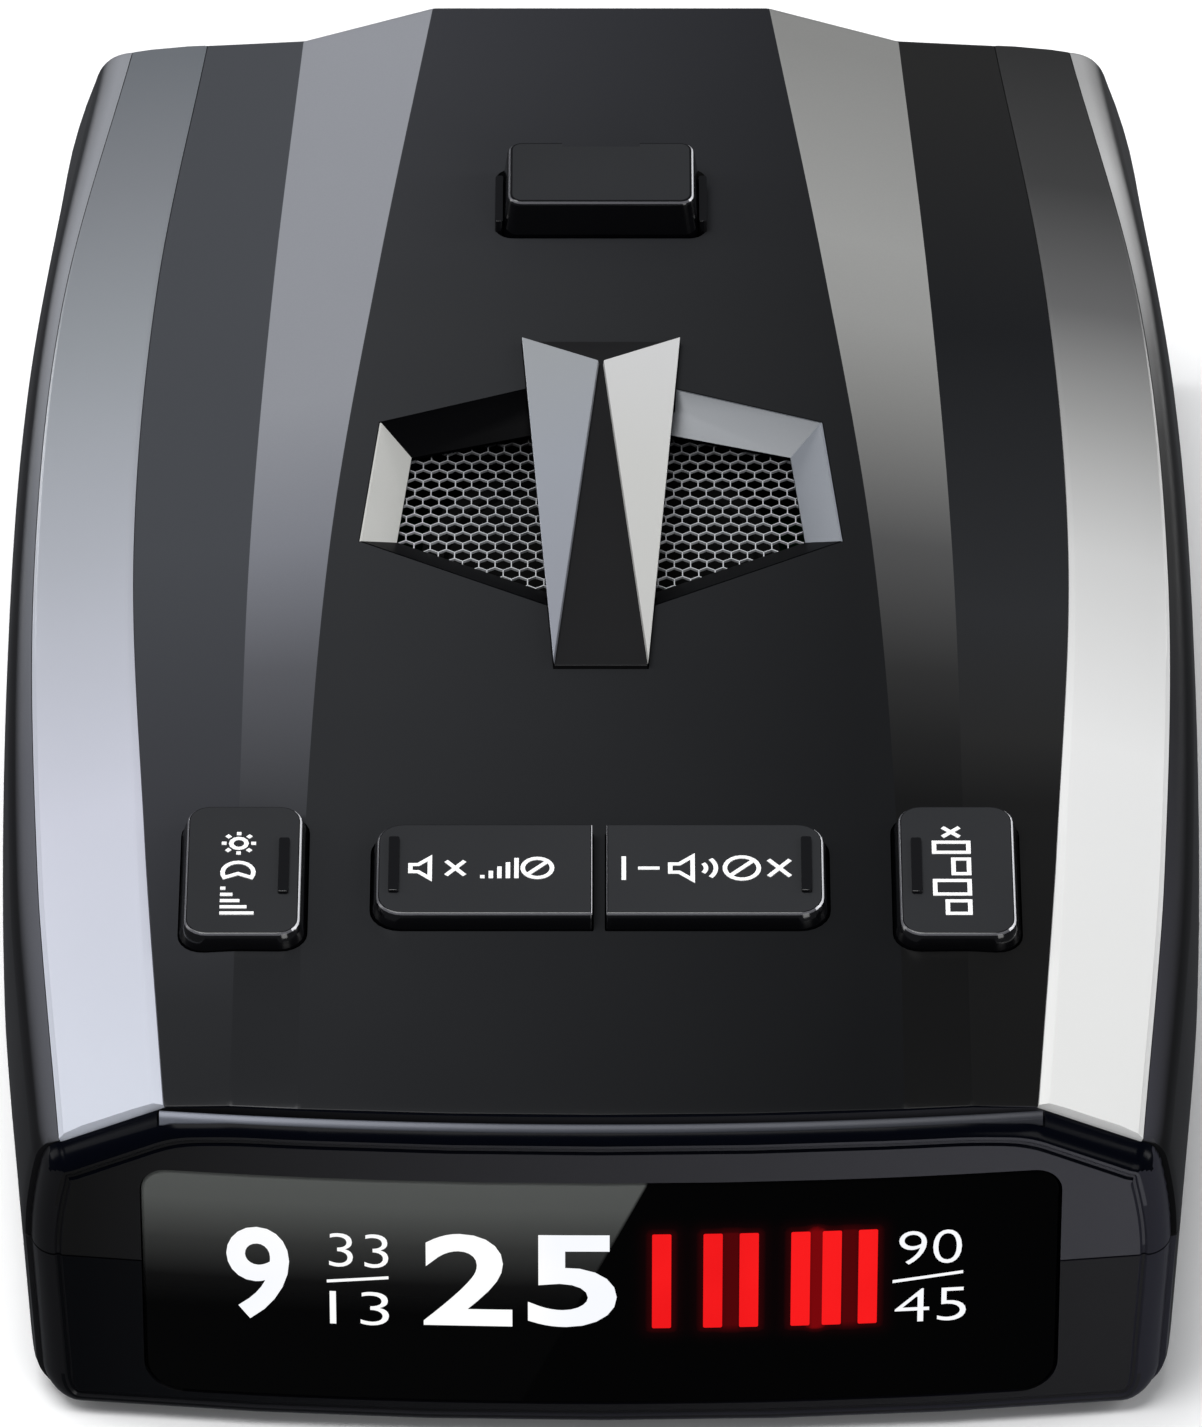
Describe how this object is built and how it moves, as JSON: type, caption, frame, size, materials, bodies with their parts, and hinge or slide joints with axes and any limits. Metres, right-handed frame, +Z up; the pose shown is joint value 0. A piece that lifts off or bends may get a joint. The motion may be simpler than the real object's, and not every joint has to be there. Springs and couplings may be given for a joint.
{
  "type": "radar detector",
  "caption": "Windscreen radar detector: low wedge-shaped two-part housing with front display, top keys, bracket release button, speaker recess and inner antenna.",
  "frame": {"origin": "bottom centre of the housing's bounding box, on its flat base", "axes": "+Y from the display end to the windscreen end, +X to the driver's right seen from the display end, +Z up"},
  "size_m": [0.0724, 0.1064, 0.0301],
  "materials": {
    "housing_black": "fine satin moulded",
    "key_black": "gloss moulded",
    "silver_trim": "satin metallic silver paint",
    "line_grey": "satin",
    "display_smoke": "polished smoked acrylic",
    "legend_film": "back-lit white print on black film",
    "bar_red": "back-lit red acrylic",
    "board_green": "solder mask",
    "die_cast": "as cast",
    "steel": "bright",
    "switch_grey": "moulded",
    "cone_black": "pressed paper",
    "label_foil": "blank printed foil"
  },
  "bodies": {
    "housing": {"top_cover": "housing_black", "bottom_cover": "housing_black", "left_side_trim": "silver_trim", "right_side_trim": "silver_trim", "hood_line_trim": "line_grey", "display_lens": "display_smoke", "legend_mask": "legend_film", "bar_light_guide": "bar_red", "display_board": "board_green", "speaker_bezel": "silver_trim", "speaker_grille": "steel", "grille_bridge": "housing_black", "left_blade": "silver_trim", "right_blade": "silver_trim", "speaker_basket": "cone_black", "speaker_magnet": "steel", "main_board": "board_green", "rf_board": "board_green", "horn_antenna": "die_cast", "rear_window": "display_smoke", "laser_lens": "display_smoke", "laser_sensor": "switch_grey", "power_jack": "housing_black", "volume_pot": "switch_grey", "release_spring": "steel", "bracket_sleeve": "housing_black", "dim_switch": "switch_grey", "mute_switch": "switch_grey", "imute_switch": "switch_grey", "city_switch": "switch_grey", "housing_screw_1": "steel", "housing_screw_2": "steel", "housing_screw_3": "steel", "housing_screw_4": "steel", "rating_label": "label_foil"},
    "bracket_release": {"release_button": "key_black", "release_latch": "housing_black"},
    "dim_key": {"dim_button": "key_black"},
    "mute_key": {"mute_button": "key_black"},
    "imute_key": {"imute_button": "key_black"},
    "city_key": {"city_button": "key_black"},
    "volume_dial": {"volume_wheel": "housing_black"}
  },
  "joints": [
    {"name": "release_press", "type": "slide", "parent": "housing", "child": "bracket_release", "axis": [0, 0.0645, -0.9979], "range_m": [0, 0.0015], "stiffness_N_per_m": 800, "springref_m": -0.0005, "deforming": ["release_spring"]},
    {"name": "dim_press", "type": "slide", "parent": "housing", "child": "dim_key", "axis": [0, 0.0645, -0.9979], "range_m": [0, 0.0008], "stiffness_N_per_m": 600, "springref_m": -0.0003},
    {"name": "mute_press", "type": "slide", "parent": "housing", "child": "mute_key", "axis": [0, 0.0645, -0.9979], "range_m": [0, 0.0008], "stiffness_N_per_m": 600, "springref_m": -0.0003},
    {"name": "imute_press", "type": "slide", "parent": "housing", "child": "imute_key", "axis": [0, 0.0645, -0.9979], "range_m": [0, 0.0008], "stiffness_N_per_m": 600, "springref_m": -0.0003},
    {"name": "city_press", "type": "slide", "parent": "housing", "child": "city_key", "axis": [0, 0.0645, -0.9979], "range_m": [0, 0.0008], "stiffness_N_per_m": 600, "springref_m": -0.0003},
    {"name": "volume_turn", "type": "hinge", "parent": "housing", "child": "volume_dial", "pos_m": [0.0291, -0.014, 0.0063], "axis": [0, 0, 1], "range_deg": [-60, 210]}
  ]
}
